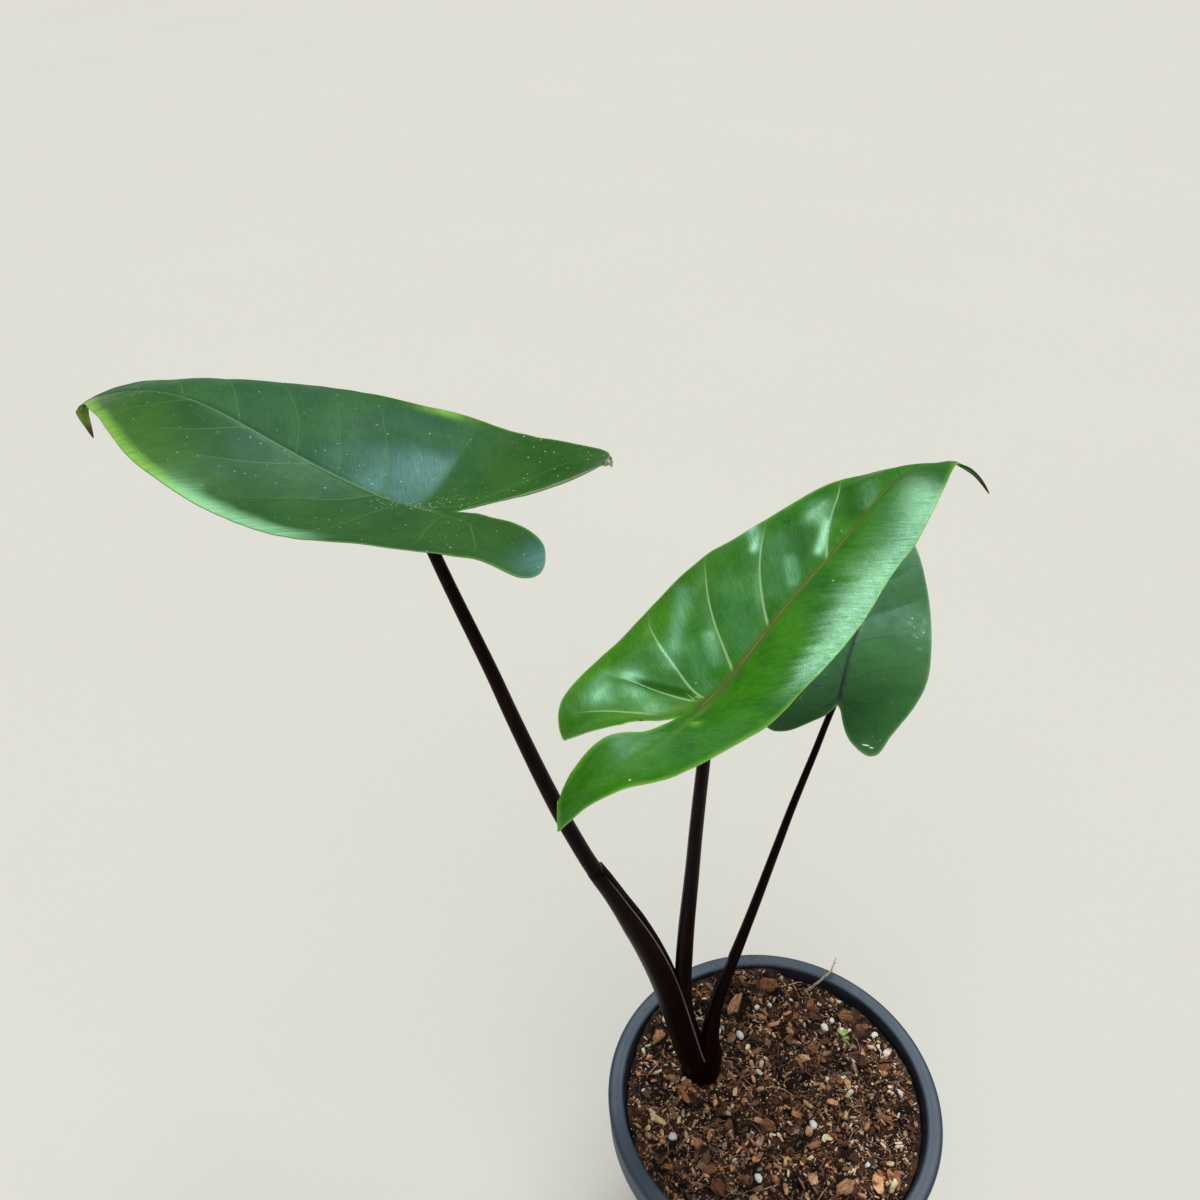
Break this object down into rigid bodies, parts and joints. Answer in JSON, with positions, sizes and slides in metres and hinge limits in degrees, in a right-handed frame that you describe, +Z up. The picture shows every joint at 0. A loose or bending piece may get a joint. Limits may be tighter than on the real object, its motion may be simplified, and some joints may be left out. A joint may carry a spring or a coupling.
{
  "type": "potted giant taro plant",
  "caption": "Young potted aroid with arrow-shaped leaves on slender near-black stalks, rooted in a peat and bark mix in a round tapered nursery pot.",
  "frame": {"origin": "centre of the pot's underside", "axes": "+Z up through the pot's centre line; +X to the right and +Y away from the viewer as the plant is seen in the picture"},
  "size_m": [0.2823, 0.2088, 0.3618],
  "materials": {
    "pot_plastic": "satin",
    "mix": "matte",
    "corm": "matte",
    "stalk": "satin",
    "leaf_dark": "satin",
    "leaf_glossy": "gloss",
    "leaf_blue": "satin",
    "perlite": "matte",
    "bark": "matte",
    "dry_root": "matte",
    "sprout": "satin"
  },
  "bodies": {
    "root": {"pot": "pot_plastic", "potting_mix": "mix", "stem_base": "corm", "stalk_left": "stalk", "stalk_middle": "stalk", "stalk_right": "stalk", "blade_left": "leaf_dark", "blade_middle": "leaf_glossy", "blade_right": "leaf_blue", "perlite_1": "perlite", "perlite_2": "perlite", "perlite_3": "perlite", "perlite_4": "perlite", "perlite_5": "perlite", "perlite_6": "perlite", "perlite_7": "perlite", "perlite_8": "perlite", "perlite_9": "perlite", "perlite_10": "perlite", "perlite_11": "perlite", "perlite_12": "perlite", "perlite_13": "perlite", "perlite_14": "perlite", "perlite_15": "perlite", "perlite_16": "perlite", "bark_chip_1": "bark", "bark_chip_2": "bark", "bark_chip_3": "bark", "bark_chip_4": "bark", "bark_chip_5": "bark", "bark_chip_6": "bark", "bark_chip_7": "bark", "bark_chip_8": "bark", "bark_chip_9": "bark", "dry_rootlet": "dry_root", "seedling": "sprout"}
  },
  "joints": []
}
